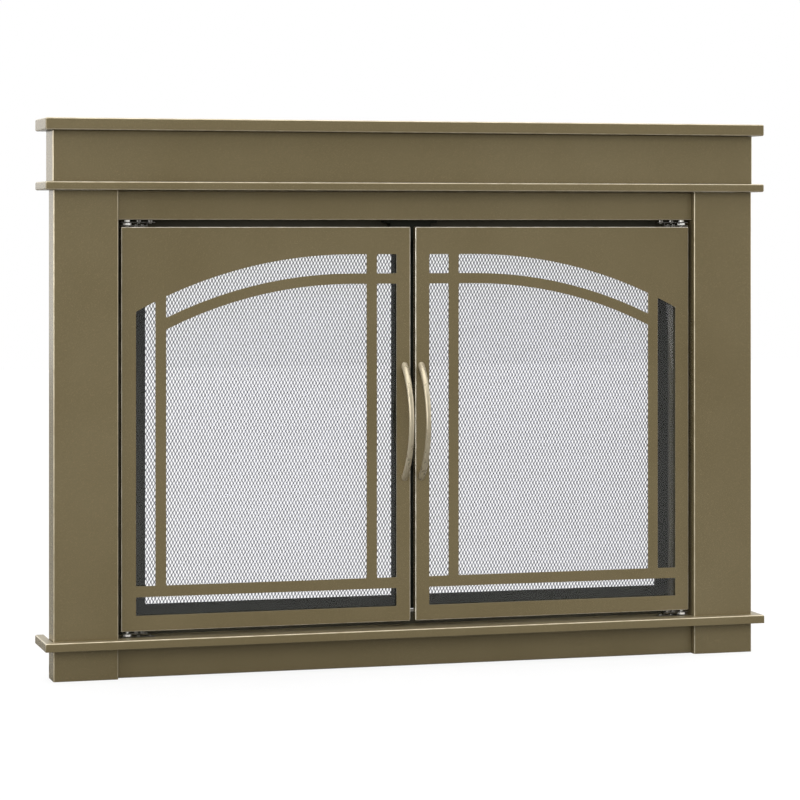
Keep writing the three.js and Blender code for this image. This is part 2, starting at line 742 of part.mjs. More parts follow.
// Steel angle under the door's top flange; its blade meets the magnet.
function strikePlate(side) {
  const top = doorHeight - doorSheet - seam;
  const corners = [[doorBack, top - strikeDrop], [doorBack, top], [doorBack - strikeFoot, top]];
  const centre = acrossDoor(side, strikeCentre);
  return lengthwise(foldedSection(corners), centre - strikeWidth / 2, strikeWidth);
}

// Centre line of the handle: a circular bow in the plane square to the door's face.
class BowLine extends THREE.Curve {
  constructor(chord, reach, overrun) {
    super();
    this.radius = (chord ** 2 / 4 + reach ** 2) / (2 * reach);
    this.centreY = this.radius - reach;
    this.halfAngle = Math.asin(chord / 2 / this.radius) + overrun;
  }

  getPoint(t, target = new THREE.Vector3()) {
    const angle = this.halfAngle * (2 * t - 1);
    return target.set(0, this.centreY - this.radius * Math.cos(angle), this.radius * Math.sin(angle));
  }

  // Thickens a bar that follows the line, from nothing at the middle to the full share at the ends.
  swell(geometry, share) {
    const { position } = geometry.attributes;
    const point = new THREE.Vector3();
    const centre = new THREE.Vector3();
    for (let i = 0; i < position.count; i += 1) {
      point.fromBufferAttribute(position, i);
      const along = Math.atan2(point.z, this.centreY - point.y) / this.halfAngle;
      this.getPoint((along + 1) / 2, centre);
      point.sub(centre).multiplyScalar(1 + share * along ** 2).add(centre);
      position.setXYZ(i, point.x, point.y, point.z);
    }
    return geometry;
  }
}

function handle() {
  const foot = doorFront - seam;
  const line = new BowLine(handleFootSpan, handleReach, handleOverrun);
  const turn = 2 * Math.PI * (1 - 1 / handleSides);
  const section = polygon(arcPoints(0, 0, 0.5, 0, turn, handleSides - 1)
    .map(([x, y]) => [x * handleWidth, y * handleThickness]));
  const bar = { steps: handleSteps, extrudePath: line, bevelEnabled: false };
  const bow = line.swell(new THREE.ExtrudeGeometry(section, bar), handleFootSwell).translate(0, foot, 0);
  const behind = block(-handleWidth, foot, -handleFootSpan, handleWidth, foot + handleReach, handleFootSpan);
  const bores = handleScrewHeights().map((height) => lying(0, height - handleCentreHeight,
    foot - handleScrewReach, handleScrewRadius + holeClearance, 2 * handleScrewReach));
  return cut(bow, behind, ...bores);
}

// Pan-head screw from inside the door, through the stile and into the handle's foot.
function handleScrew() {
  const tip = doorFront - seam - handleScrewReach + holeClearance;
  const shank = lying(0, 0, tip, handleScrewRadius, glassFront + screwHeadHeight / 2 - tip);
  const head = lying(0, 0, glassFront, handleScrewHeadRadius, screwHeadHeight);
  return joined(shank, head);
}

function door(side) {
  const name = sideNames[side];
  const group = new THREE.Group().add(
    part(`${name}_door_frame`, doorFrame(side), bronzePaint),
    part(`${name}_door_glass`, doorGlass(side), clearGlass),
    part(`${name}_strike_plate`, strikePlate(side), zincPlate),
    placed(part(`${name}_handle`, handle(), satinMetal),
      acrossDoor(side, handleInset), 0, handleCentreHeight),
  );
  for (const [end, sizes] of Object.entries(hingeEnds)) {
    const { z, turn } = hingePlace(side, end);
    const doorHalf = part(`${name}_${end}_door_leaf`, doorLeaf(sizes), zincPlate);
    group.add(placed(doorHalf, 0, 0, z - doorBottom, turn));
  }
  for (const [index, height] of handleScrewHeights().entries()) {
    const screw = part(`${name}_handle_${index ? 'upper' : 'lower'}_screw`, handleScrew(), zincPlate);
    group.add(placed(screw, acrossDoor(side, handleInset), 0, height));
  }
  for (const [level, height] of Object.entries(clipHeights)) {
    group.add(
      part(`${name}_${level}_outer_glass_clip`, glassClip(side, false, height), zincPlate),
      part(`${name}_${level}_inner_glass_clip`, glassClip(side, true, height), zincPlate),
    );
  }
  return placed(group, side * doorHingeX, doorHingeY, doorBottom);
}

// ---- Mesh gates: drawn round their own hinge axis, which is the local origin ----
const gateFront = -gateDepth / 2;

function acrossGate(side, fromMeetingEdge) {
  return -side * (gateWidth - gatePivotInset - fromMeetingEdge);
}

function gateRectangle(side, fromSide, fromEnd) {
  const edges = [acrossGate(side, fromSide), acrossGate(side, gateWidth - fromSide)];
  return [Math.min(...edges), fromEnd, Math.max(...edges), gateHeight - fromEnd];
}

// Pan with a window, and a pivot pin with a collar at each end of its hinge stile.
function gateFrame(side) {
  const shell = pan(...gateRectangle(side, 0, 0), gateFront, gateDepth, gateSheet, gateEdgeRadius);
  const window = facing(rectangle(...gateRectangle(side, gateStileWidth, gateRailHeight)),
    gateFront - gateSheet, 3 * gateSheet);
  const collar = gateEndGap - gateBracketThickness - 2 * seam;
  const pin = gateEndGap - 2 * seam;
  const root = gateSheet / 2;
  return joined(cut(shell, window),
    upstanding(0, 0, -collar, gateCollarRadius - 0.8, collar + root),
    upstanding(0, 0, -pin, gatePinRadius, pin + root),
    upstanding(0, 0, gateHeight - root, gateCollarRadius - 0.8, collar + root),
    upstanding(0, 0, gateHeight - root, gatePinRadius, pin + root));
}

// Outline of one gap of the net. Past the window's edges only half or a quarter of it is left.
function netGap(centreX, centreZ, halfX, halfZ, [x0, z0, x1, z1]) {
  const corners = [[halfX, 0], [0, halfZ], [-halfX, 0], [0, -halfZ]]
    .map(([dx, dz]) => [centreX + dx, centreZ + dz]);
  const inside = corners.filter(
    ([x, z]) => x > x0 - seam && x < x1 + seam && z > z0 - seam && z < z1 + seam);
  return polygon(inside.length > 2 ? inside : [[centreX, centreZ], ...inside]);
}

// Expanded net: diamonds in two staggered sets, with half diamonds along the window's edges.
function gateNet(side) {
  const window = gateRectangle(side, gateStileWidth, gateRailHeight);
  const pitchX = (window[2] - window[0]) / netColumns;
  const pitchZ = (window[3] - window[1]) / netRows;
  const strandShare = strandWidth * Math.hypot(pitchX, pitchZ) / (pitchX * pitchZ);
  const halfX = pitchX / 2 * (1 - strandShare);
  const halfZ = pitchZ / 2 * (1 - strandShare);
  const border = gateSheet + netInset;
  const front = gateFront + gateSheet + seam;
  const net = facing(rectangle(...gateRectangle(side, border, border)), front, netThickness);
  const gaps = [0, 0.5].flatMap((stagger) => range(netColumns + 1 - 2 * stagger).flatMap(
    (column) => range(netRows + 1 - 2 * stagger).map((row) => facing(netGap(
      window[0] + (column + stagger) * pitchX, window[1] + (row + stagger) * pitchZ,
      halfX, halfZ, window), front - netThickness, 3 * netThickness))));
  return cut(net, ...gaps);
}

// Turned pull on the gate's meeting stile.
function gateKnob() {
  const profile = [[0, 0], [knobRadius * 0.7, 0], [knobRadius * 0.7, 1.5], [knobNeckRadius, 2.5],
    [knobNeckRadius, knobProjection * 0.45], [knobRadius, knobProjection * 0.6],
    [knobRadius, knobProjection * 0.85], [knobRadius * 0.75, knobProjection], [0, knobProjection]];
  return new THREE.LatheGeometry(profile.map(([r, y]) => new THREE.Vector2(r, y)), 16).rotateX(Math.PI);
}

function gate(side) {
  const name = sideNames[side];
  const group = new THREE.Group().add(
    part(`${name}_gate_frame`, gateFrame(side), blackPaint),
    part(`${name}_gate_mesh`, gateNet(side), netPaint),
    placed(part(`${name}_gate_knob`, gateKnob(), blackPaint),
      acrossGate(side, gateStileWidth / 2), gateFront - seam, knobHeight),
  );
  return placed(group, side * gateHingeX, gateHingeY, gateBottom);
}

// Drilled plate that takes a gate's pin; it lies against the sub-frame's rail.
function gateBracket(side, z0) {
  const outer = side * (halfGateOpening - seam);
  const inner = outer - side * gateBracketLength;
  const plate = block(Math.min(outer, inner), gateHingeY - gateBracketDepth / 2, z0,
    Math.max(outer, inner), gateHingeY + gateBracketDepth / 2, z0 + gateBracketThickness);
  const hole = upstanding(side * gateHingeX, gateHingeY, z0 - gateBracketThickness,
    gatePinRadius + holeClearance, 3 * gateBracketThickness);
  return cut(plate, hole);
}

function gateBrackets() {
  const group = new THREE.Group();
  for (const side of sides) {
    const top = gateBracket(side, gateOpeningTop - seam - gateBracketThickness);
    const bottom = gateBracket(side, gateOpeningBottom + seam);
    group.add(part(`${sideNames[side]}_gate_top_bracket`, top, blackPaint));
    group.add(part(`${sideNames[side]}_gate_bottom_bracket`, bottom, blackPaint));
  }
  return group;
}

// ---- Assembly ----
// The origin is the middle of the strip on which the base panel stands.
const standingStripMiddle = (railRecess + bendRadius + postDepth) / 2;

const fireplaceDoor = placed(new THREE.Group().add(
  surround(),
  rearSubFrame(),
  fixings(),
  frameHingeParts(),
  gateBrackets(),
  ...sides.map(door),
  ...sides.map(gate),
), 0, -standingStripMiddle, 0);

export default fireplaceDoor;
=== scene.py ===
import math

import bmesh
import bpy
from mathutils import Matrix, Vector


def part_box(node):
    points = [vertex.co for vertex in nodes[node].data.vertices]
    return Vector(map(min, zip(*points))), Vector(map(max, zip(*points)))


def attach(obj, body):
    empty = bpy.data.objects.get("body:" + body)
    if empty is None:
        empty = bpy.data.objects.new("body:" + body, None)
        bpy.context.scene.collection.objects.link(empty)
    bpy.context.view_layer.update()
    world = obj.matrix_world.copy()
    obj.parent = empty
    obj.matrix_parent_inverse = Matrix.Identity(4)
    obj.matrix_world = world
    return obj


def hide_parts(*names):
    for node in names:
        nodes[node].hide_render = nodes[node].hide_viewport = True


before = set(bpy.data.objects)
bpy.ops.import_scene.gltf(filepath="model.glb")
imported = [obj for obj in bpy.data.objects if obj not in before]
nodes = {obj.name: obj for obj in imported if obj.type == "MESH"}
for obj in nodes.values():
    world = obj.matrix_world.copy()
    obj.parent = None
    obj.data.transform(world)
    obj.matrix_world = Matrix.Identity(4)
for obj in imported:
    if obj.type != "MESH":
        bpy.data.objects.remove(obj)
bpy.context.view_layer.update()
mm = 0.001
print("frame loaded:", len(nodes), "nodes")

# The photograph's view: level, a little to the left of the middle, from over four metres away.
viewpoint = {
    "place": (-1.22637, -4.21255, 0.67140),
    "turn": 16.044,
    "lens": 128.99,
    "sensor": 36,
    "drop": -0.21876,
    "farthest": 100,
}


def placeCamera(view):
    lens = bpy.data.cameras.new("photoCamera")
    lens.lens = view["lens"]
    lens.sensor_width = view["sensor"]
    lens.shift_y = view["drop"]
    lens.clip_end = view["farthest"]
    camera = bpy.data.objects.new("photoCamera", lens)
    camera.location = view["place"]
    camera.rotation_euler = (math.pi / 2, 0, -math.radians(view["turn"]))
    bpy.context.collection.objects.link(camera)
    bpy.context.scene.camera = camera


placeCamera(viewpoint)
bpy.context.scene.view_settings.view_transform = "Standard"
print("camera placed")


# Small helpers for node trees. A source is a value or another node's output.
class Tree:
    def __init__(self, tree):
        self.tree = tree

    def add(self, kind, settings=None, **sources):
        node = self.tree.nodes.new(kind)
        for key, value in (settings or {}).items():
            setattr(node, key, value)
        for key, value in sources.items():
            self.feed(node.inputs[key.replace("_", " ")], value)
        return node

    def feed(self, socket, value):
        if isinstance(value, bpy.types.NodeSocket):
            self.tree.links.new(value, socket)
        else:
            socket.default_value = value

    def math(self, operation, first, second, clamp=False):
        node = self.tree.nodes.new("ShaderNodeMath")
        node.operation = operation
        node.use_clamp = clamp
        self.feed(node.inputs[0], first)
        self.feed(node.inputs[1], second)
        return node.outputs[0]

    def span(self, value, low, high, toLow=0.0, toHigh=1.0):
        node = self.tree.nodes.new("ShaderNodeMapRange")
        for index, source in enumerate((value, low, high, toLow, toHigh)):
            self.feed(node.inputs[index], source)
        return node.outputs[0]

    def blend(self, share, first, second):
        node = self.tree.nodes.new("ShaderNodeMix")
        node.data_type = "RGBA"
        self.feed(node.inputs[0], share)
        self.feed(node.inputs[6], first)
        self.feed(node.inputs[7], second)
        return node.outputs[2]


def newGroup(name, inputs, outputs):
    group = bpy.data.node_groups.new(name, "ShaderNodeTree")
    for label, default in inputs.items():
        socket = group.interface.new_socket(label, in_out="INPUT", socket_type="NodeSocketFloat")
        socket.default_value = default
    for label in outputs:
        group.interface.new_socket(label, in_out="OUTPUT", socket_type="NodeSocketFloat")
    tree = Tree(group)
    return group, tree, tree.add("NodeGroupInput").outputs, tree.add("NodeGroupOutput").inputs


# Sprayed paint: slow drift in shade, fine flake, and the faint orange peel of a baked coat.
paintGrain = {
    "drift": {"Detail": 4.0, "Roughness": 0.6}, "driftSpan": (0.3, 0.7),
    "flake": {"Detail": 2.0, "Roughness": 0.7}, "flakeSpan": (0.35, 0.65),
    "peel": {"Detail": 1.0, "Roughness": 0.4},
}


def makePaintGroup():
    group, tree, given, result = newGroup(
        "sprayedPaint", {"Drift Scale": 5.0, "Flake Scale": 900.0, "Peel Scale": 320.0},
        ["Drift", "Flake", "Peel"])
    place = tree.add("ShaderNodeTexCoord").outputs["Object"]
    drift = tree.add("ShaderNodeTexNoise", Vector=place, Scale=given["Drift Scale"], **paintGrain["drift"])
    flake = tree.add("ShaderNodeTexNoise", Vector=place, Scale=given["Flake Scale"], **paintGrain["flake"])
    peel = tree.add("ShaderNodeTexNoise", Vector=place, Scale=given["Peel Scale"], **paintGrain["peel"])
    tree.feed(result["Drift"], tree.span(drift.outputs[0], *paintGrain["driftSpan"]))
    tree.feed(result["Flake"], tree.span(flake.outputs[0], *paintGrain["flakeSpan"]))
    tree.feed(result["Peel"], peel.outputs[0])
    return group


# Bends and rounded edges, where paint is thin and cloths rub; the same lightening is also a painted highlight
# along the folds.
# Flat sheet lies square to an axis, and bends don't.
edgeBreaks = {"noise": {"Detail": 3.0}, "span": (0.3, 0.6, 0.5, 1.0)}


def makeEdgeWearAndHighlightGroup():
    group, tree, given, result = newGroup(
        "rubbedEdge", {"Start": 0.02, "Full": 0.2, "Break Scale": 60.0}, ["Edge"])
    place = tree.add("ShaderNodeTexCoord").outputs
    squareness = tree.add("ShaderNodeVectorMath", {"operation": "ABSOLUTE"})
    tree.feed(squareness.inputs[0], place["Normal"])
    axes = tree.add("ShaderNodeSeparateXYZ", Vector=squareness.outputs[0]).outputs
    most = tree.math("MAXIMUM", tree.math("MAXIMUM", axes["X"], axes["Y"]), axes["Z"])
    bend = tree.span(tree.math("SUBTRACT", 1.0, most), given["Start"], given["Full"])
    patches = tree.add("ShaderNodeTexNoise", Vector=place["Object"], Scale=given["Break Scale"],
                       **edgeBreaks["noise"])
    kept = tree.span(patches.outputs[0], *edgeBreaks["span"])
    tree.feed(result["Edge"], tree.math("MULTIPLY", bend, kept, True))
    return group


# Fine patchy dust on what faces up.
dustCover = {
    "noise": {"Detail": 5.0, "Roughness": 0.65}, "upward": (0.6, 1.0), "span": (0.25, 0.75, 0.4, 1.0),
}


def makeDustGroup():
    group, tree, given, result = newGroup("settledDust", {"Dust Scale": 90.0}, ["Dust"])
    place = tree.add("ShaderNodeTexCoord").outputs["Object"]
    normal = tree.add("ShaderNodeNewGeometry").outputs["Normal"]
    up = tree.add("ShaderNodeSeparateXYZ", Vector=normal).outputs["Z"]
    cover = tree.add("ShaderNodeTexNoise", Vector=place, Scale=given["Dust Scale"], **dustCover["noise"])
    lying = tree.span(up, *dustCover["upward"])
    patches = tree.span(cover.outputs[0], *dustCover["span"])
    tree.feed(result["Dust"], tree.math("MULTIPLY", lying, patches, True))
    return group


# Short streaks along one axis, as left by a brush or a drawing die.
streakGrain = {"noise": {"Scale": 1.0, "Detail": 3.0, "Roughness": 0.6}, "span": (0.3, 0.7)}


def makeStreakGroup():
    group, tree, given, result = newGroup(
        "drawnStreaks", {"Along": 12.0, "Across": 900.0}, ["Streak", "Height"])
    place = tree.add("ShaderNodeTexCoord").outputs["Object"]
    across = given["Across"]
    stretch = tree.add("ShaderNodeCombineXYZ", X=across, Y=across, Z=given["Along"]).outputs[0]
    scaled = tree.add("ShaderNodeVectorMath", {"operation": "MULTIPLY"})
    tree.feed(scaled.inputs[0], place)
    tree.feed(scaled.inputs[1], stretch)
    noise = tree.add("ShaderNodeTexNoise", Vector=scaled.outputs[0], **streakGrain["noise"]).outputs[0]
    tree.feed(result["Streak"], tree.span(noise, *streakGrain["span"]))
    tree.feed(result["Height"], noise)
    return group


paintGroup = makePaintGroup()
edgeWearAndHighlightGroup = makeEdgeWearAndHighlightGroup()
dustGroup = makeDustGroup()
streakGroup = makeStreakGroup()


def newMaterial(name, **plain):
    material = bpy.data.materials.new(name)
    material.use_nodes = True
    tree = Tree(material.node_tree)
    shader = material.node_tree.nodes["Principled BSDF"]
    for key, value in plain.items():
        shader.inputs[key.replace("_", " ")].default_value = value
    return material, tree, shader


# How much dust dulls a painted face, and how deep its peel is in metres.
coating = {"dustRoughness": 0.2, "peelDepth": 0.0004}


def paintedMetal(name, look):
    material, tree, shader = newMaterial(
        name, Metallic=look["metallic"], Specular_IOR_Level=look["specular"], Coat_Weight=look["coat"],
        Coat_Roughness=look["coatRoughness"])
    paint = tree.add("ShaderNodeGroup", {"node_tree": paintGroup}, Drift_Scale=look["driftScale"],
                     Flake_Scale=look["flakeScale"], Peel_Scale=look["peelScale"]).outputs
    edge = tree.add("ShaderNodeGroup", {"node_tree": edgeWearAndHighlightGroup}, Start=look["edgeStart"]).outputs
    dust = tree.add("ShaderNodeGroup", {"node_tree": dustGroup}).outputs
    colour = tree.blend(paint["Drift"], look["deep"], look["light"])
    colour = tree.blend(tree.math("MULTIPLY", paint["Flake"], look["flakeShare"]), colour, look["flake"])
    # Rounded edges lightened towards the edge colour: partly rubbed paint, partly a painted highlight.
    colour = tree.blend(tree.math("MULTIPLY", edge["Edge"], look["edgeShare"]), colour, look["edge"])
    colour = tree.blend(tree.math("MULTIPLY", dust["Dust"], look["dustShare"]), colour, look["dust"])
    tree.feed(shader.inputs["Base Color"], colour)
    smoothest = look["roughness"] - look["spread"]
    roughest = look["roughness"] + look["spread"]
    rough = tree.span(paint["Flake"], 0, 1, smoothest, roughest)
    dulled = tree.math("MULTIPLY", dust["Dust"], coating["dustRoughness"])
    tree.feed(shader.inputs["Roughness"], tree.math("ADD", rough, dulled))
    bump = tree.add("ShaderNodeBump", Strength=look["peel"], Distance=coating["peelDepth"],
                    Height=paint["Peel"])
    tree.feed(shader.inputs["Normal"], bump.outputs[0])
    return material


# Bronze powder coat. Its cream edge colour is partly rubbed paint, partly a painted highlight on the folds.
bronzeLook = {
    "deep": (0.160, 0.126, 0.062, 1), "light": (0.194, 0.156, 0.083, 1),
    "flake": (0.38, 0.31, 0.18, 1), "flakeShare": 0.03,
    "edge": (0.80, 0.72, 0.56, 1), "edgeShare": 0.5, "edgeStart": 0.02,
    "dust": (0.42, 0.38, 0.30, 1), "dustShare": 0.12,
    "metallic": 0.45, "roughness": 0.26, "spread": 0.015, "specular": 0.5,
    "coat": 0.05, "coatRoughness": 0.25, "peel": 0.02,
    "driftScale": 3.5, "flakeScale": 1400.0, "peelScale": 420.0,
}
# The doors' folds take a near-white painted highlight, stronger than on the surround.
doorHighlightedLook = dict(bronzeLook, edge=(0.98, 0.93, 0.82, 1), edgeShare=0.95)
blackLook = {
    "deep": (0.0065, 0.007, 0.0048, 1), "light": (0.010, 0.0108, 0.0078, 1),
    "flake": (0.02, 0.02, 0.016, 1), "flakeShare": 0.05,
    "edge": (0.10, 0.098, 0.09, 1), "edgeShare": 0.12, "edgeStart": 0.05,
    "dust": (0.4, 0.38, 0.35, 1), "dustShare": 0.2,
    "metallic": 0.0, "roughness": 0.55, "spread": 0.04, "specular": 0.06,
    "coat": 0.0, "coatRoughness": 0.4, "peel": 0.01,
    "driftScale": 6.0, "flakeScale": 1600.0, "peelScale": 700.0,
}
netLook = dict(blackLook, deep=(0.072, 0.074, 0.10, 1), light=(0.096, 0.099, 0.132, 1),
               specular=0.25, edgeShare=0.05, roughness=0.5)
plasticLook = dict(blackLook, edgeShare=0.02, dustShare=0.05, peel=0.2, peelScale=1800.0)
# Sub-frame rails: a lighter, browner copy of the black paint, as painted light in the gap above the doors.
litRailLook = dict(blackLook, deep=(0.052, 0.048, 0.034, 1), light=(0.068, 0.063, 0.045, 1))


# How far streaks move the roughness either way, and how deep they are in metres.
streakEffect = {"smoother": 0.06, "rougher": 0.08, "depth": 0.0002}


def platedSteel(name, look):
    material, tree, shader = newMaterial(name, Metallic=look["metallic"])
    streak = tree.add("ShaderNodeGroup", {"node_tree": streakGroup},
                      Along=look["along"], Across=look["across"]).outputs
    edge = tree.add("ShaderNodeGroup", {"node_tree": edgeWearAndHighlightGroup}, Start=look["edgeStart"]).outputs
    colour = tree.blend(streak["Streak"], look["deep"], look["light"])
    # Rounded edges lightened towards the edge colour: partly rubbed plating, partly a painted highlight.
    colour = tree.blend(tree.math("MULTIPLY", edge["Edge"], look["edgeShare"]), colour, look["edge"])
    tree.feed(shader.inputs["Base Color"], colour)
    smoothest = look["roughness"] - streakEffect["smoother"]
    roughest = look["roughness"] + streakEffect["rougher"]
    tree.feed(shader.inputs["Roughness"], tree.span(streak["Streak"], 0, 1, smoothest, roughest))
    bump = tree.add("ShaderNodeBump", Strength=look["bump"], Distance=streakEffect["depth"],
                    Height=streak["Height"])
    tree.feed(shader.inputs["Normal"], bump.outputs[0])
    return material


zincLook = {
    "deep": (0.48, 0.47, 0.43, 1), "light": (0.7, 0.69, 0.64, 1),
    "edge": (0.85, 0.84, 0.8, 1), "edgeShare": 0.3, "edgeStart": 0.1,
    "along": 140.0, "across": 160.0, "roughness": 0.3, "bump": 0.12, "metallic": 1.0,
}
# Hinge leaves: a darkened copy of the zinc, as painted shade.
shadedLeafLook = dict(zincLook, deep=(0.16, 0.155, 0.14, 1), light=(0.26, 0.25, 0.23, 1), edge=(0.5, 0.49, 0.45, 1))
# Pivot bolts: a lightened copy of the zinc, as painted highlight.
litBoltLook = dict(zincLook, deep=(0.75, 0.74, 0.70, 1), light=(0.93, 0.92, 0.88, 1),
                metallic=0.5, roughness=0.35)
satinLook = {
    "deep": (0.40, 0.35, 0.245, 1), "light": (0.47, 0.415, 0.30, 1),
    "edge": (0.6, 0.54, 0.42, 1), "edgeShare": 0.05, "edgeStart": 0.2,
    "along": 14.0, "across": 160.0, "roughness": 0.3, "bump": 0.0, "metallic": 0.6,
}


# Clear tempered glass. Light that only passes through on its way to the net isn't held back.
def paneGlass(look):
    material, tree, shader = newMaterial(
        "clearGlass", Base_Color=look["tint"], Roughness=look["roughness"], IOR=look["bending"],
        Transmission_Weight=1.0)
    output = material.node_tree.nodes["Material Output"]
    clear = tree.add("ShaderNodeBsdfTransparent", Color=look["tint"])
    passing = tree.add("ShaderNodeLightPath").outputs["Is Shadow Ray"]
    mix = tree.add("ShaderNodeMixShader")
    tree.feed(mix.inputs[0], passing)
    tree.feed(mix.inputs[1], shader.outputs[0])
    tree.feed(mix.inputs[2], clear.outputs[0])
    tree.feed(output.inputs["Surface"], mix.outputs[0])
    place = tree.add("ShaderNodeTexCoord").outputs["Object"]
    wave = tree.add("ShaderNodeTexNoise", Vector=place, **look["wave"]).outputs[0]
    bump = tree.add("ShaderNodeBump", Strength=look["waviness"], Distance=look["waveDepth"], Height=wave)
    tree.feed(shader.inputs["Normal"], bump.outputs[0])
    return material


glassLook = {
    "tint": (0.985, 0.987, 0.99, 1), "roughness": 0.0, "bending": 1.36,
    "wave": {"Scale": 14.0, "Detail": 5.0, "Roughness": 0.6}, "waviness": 0.01, "waveDepth": 0.0003,
}

finishes = {
    "bronze_paint": paintedMetal("bronzePaint", bronzeLook),
    "black_paint": paintedMetal("blackPaint", blackLook),
    "net_paint": paintedMetal("netPaint", netLook),
    "catch_plastic": paintedMetal("catchPlastic", plasticLook),
    "zinc_plate": platedSteel("zincPlate", zincLook),
    "satin_metal": platedSteel("satinMetal", satinLook),
    "clear_glass": paneGlass(glassLook),
}
print("finishes made:", ", ".join(finishes))


# The hinge leaves are a darker copy of the zinc as painted shade, the sub-frame a lighter, browner copy of
# the black paint as painted light, the pivot bolts a lighter copy of the zinc as painted highlight, and the
# doors' folds carry the strongest painted highlight. A finish goes to every node whose name has its ending.
ownFinishes = {
    "_leaf": platedSteel("shadedZinc", shadedLeafLook),
    "_jamb": paintedMetal("litRailPaint", litRailLook),
    "_pivot_bolt": platedSteel("litBoltZinc", litBoltLook),
    "_door_frame": paintedMetal("doorPaint", doorHighlightedLook),
}
ownFinishes["_top_rail"] = ownFinishes["_bottom_rail"] = ownFinishes["_jamb"]


def findFinish(node, finish):
    for ending, material in ownFinishes.items():
        if node.name.endswith(ending):
            return material
    return finishes[finish]


# Folded edges keep the soft shine of a bend, and cut edges stay crisp. Angles are degrees, roundings mm.
meshFinish = {"weldReach": 0.00001, "flatAngle": 0.5, "smoothAngle": 40, "cornerAngle": 50,
              "roundingSteps": 2, "evenWeight": 100}
doorRounding = 0.5
edgeRounding = {
    "bronze_paint": 0.9, "black_paint": 0.4, "catch_plastic": 0.6, "zinc_plate": 0.2,
    "satin_metal": 0.3, "clear_glass": 0.5, "net_paint": 0.2,
}


def makeSmoothing():
    group = bpy.data.node_groups.new("smoothByAngle", "GeometryNodeTree")
    group.is_modifier = True
    group.interface.new_socket("Geometry", in_out="INPUT", socket_type="NodeSocketGeometry")
    group.interface.new_socket("Geometry", in_out="OUTPUT", socket_type="NodeSocketGeometry")
    tree = Tree(group)
    start = tree.add("NodeGroupInput").outputs[0]
    angle = tree.add("GeometryNodeInputMeshEdgeAngle").outputs["Unsigned Angle"]
    gentle = tree.add("FunctionNodeCompare", {"data_type": "FLOAT", "operation": "LESS_THAN"})
    tree.feed(gentle.inputs[0], angle)
    gentle.inputs[1].default_value = math.radians(meshFinish["smoothAngle"])
    faces = tree.add("GeometryNodeSetShadeSmooth", {"domain": "FACE"}, Geometry=start, Shade_Smooth=True)
    edges = tree.add("GeometryNodeSetShadeSmooth", {"domain": "EDGE"}, Geometry=faces.outputs[0])
    tree.feed(edges.inputs["Shade Smooth"], gentle.outputs[0])
    tree.feed(tree.add("NodeGroupOutput").inputs[0], edges.outputs[0])
    return group


smoothing = makeSmoothing()


def finishNode(node):
    finish = node.data.materials[0].name.split(".")[0]
    for place in node.material_slots:
        place.link = "OBJECT"
        place.material = findFinish(node, finish)
    weld = node.modifiers.new("weld", "WELD")
    weld.merge_threshold = meshFinish["weldReach"]
    flatten = node.modifiers.new("flatten", "DECIMATE")
    flatten.decimate_type = "DISSOLVE"
    flatten.angle_limit = math.radians(meshFinish["flatAngle"])
    rounding = node.modifiers.new("rounding", "BEVEL")
    width = doorRounding if node.name.endswith("_door_frame") else edgeRounding[finish]
    rounding.width = width * mm
    rounding.segments = meshFinish["roundingSteps"]
    rounding.limit_method = "ANGLE"
    rounding.angle_limit = math.radians(meshFinish["cornerAngle"])
    rounding.use_clamp_overlap = True
    if finish == "clear_glass":
        return
    smooth = node.modifiers.new("smoothByAngle", "NODES")
    smooth.node_group = smoothing
    even = node.modifiers.new("evenShine", "WEIGHTED_NORMAL")
    even.keep_sharp = True
    even.weight = meshFinish["evenWeight"]


for node in nodes.values():
    finishNode(node)
print("nodes finished")


def newPiece(name, points, faces, finish, body, smooth=True):
    mesh = bpy.data.meshes.new(name)
    mesh.from_pydata(points, [], faces)
    mesh.materials.append(finishes[finish])
    if smooth:
        mesh.shade_smooth()
    piece = bpy.data.objects.new(name, mesh)
    bpy.context.collection.objects.link(piece)
    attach(piece, body)
    return piece


# Net of zigzag strands that touch side by side, so that the openings stand as pointed ovals.
# Millimetres, but for the lean and slope of the weave, which are millimetres for each millimetre.
netSizes = {
    "pitch": 5.2, "rise": 9.85, "strand": 1.1, "thickness": 0.8, "touch": 0.25, "lift": 0.18,
    "lean": 0.046, "slope": -0.024,
}


def makeNet(side):
    low, high = (Vector(corner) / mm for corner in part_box(f"{side}_gate_mesh"))
    middle = (low + high) / 2
    column = netSizes["pitch"] / 2
    row = netSizes["rise"] / 2
    swing = column / 2 - netSizes["touch"]
    half = netSizes["strand"] / 2
    deep = netSizes["thickness"] / 2
    spare = (high.z - low.z) * netSizes["lean"] / 2
    columns = math.ceil(((high.x - low.x) / 2 + spare) / column)
    rows = math.ceil(((high.z - low.z) / 2 + (high.x - low.x) * abs(netSizes["slope"]) / 2) / row)
    points = []
    faces = []
    for strand in range(-columns, columns):
        joined = False
        for step in range(-rows, rows + 1):
            lean = 1 if (step + strand) % 2 else -1
            across = column * (strand + 0.5) + lean * swing
            up = row * step
            x = middle.x + across + up * netSizes["lean"]
            z = middle.z + up + across * netSizes["slope"]
            if not (low.x + half < x < high.x - half and low.z < z < high.z):
                joined = False
                continue
            y = middle.y + lean * netSizes["lift"]
            base = len(points)
            points += [(x - half, y - deep, z), (x + half, y - deep, z),
                       (x + half, y + deep, z), (x - half, y + deep, z)]
            if joined:
                faces += [(base + a - 4, base + b - 4, base + b, base + a)
                          for a, b in ((0, 1), (1, 2), (2, 3), (3, 0))]
            joined = True
    metres = [tuple(v * mm for v in point) for point in points]
    net = newPiece(f"{side}_net", metres, faces, "net_paint", f"{side}_gate", smooth=False)
    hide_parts(f"{side}_gate_mesh")


for side in ("left", "right"):
    makeNet(side)
print("nets woven")


# Bowed pull: a bar on an arc, thickest at its feet, where it is cut flat against the door.
# Millimetres, but for the swell, a share of the section, and the overrun, radians past each foot.
bowSizes = {
    "footSpan": 169, "reach": 39, "width": 8, "thickness": 7, "swell": 0.4, "overrun": 0.12,
    "rings": 72, "sides": 32,
}


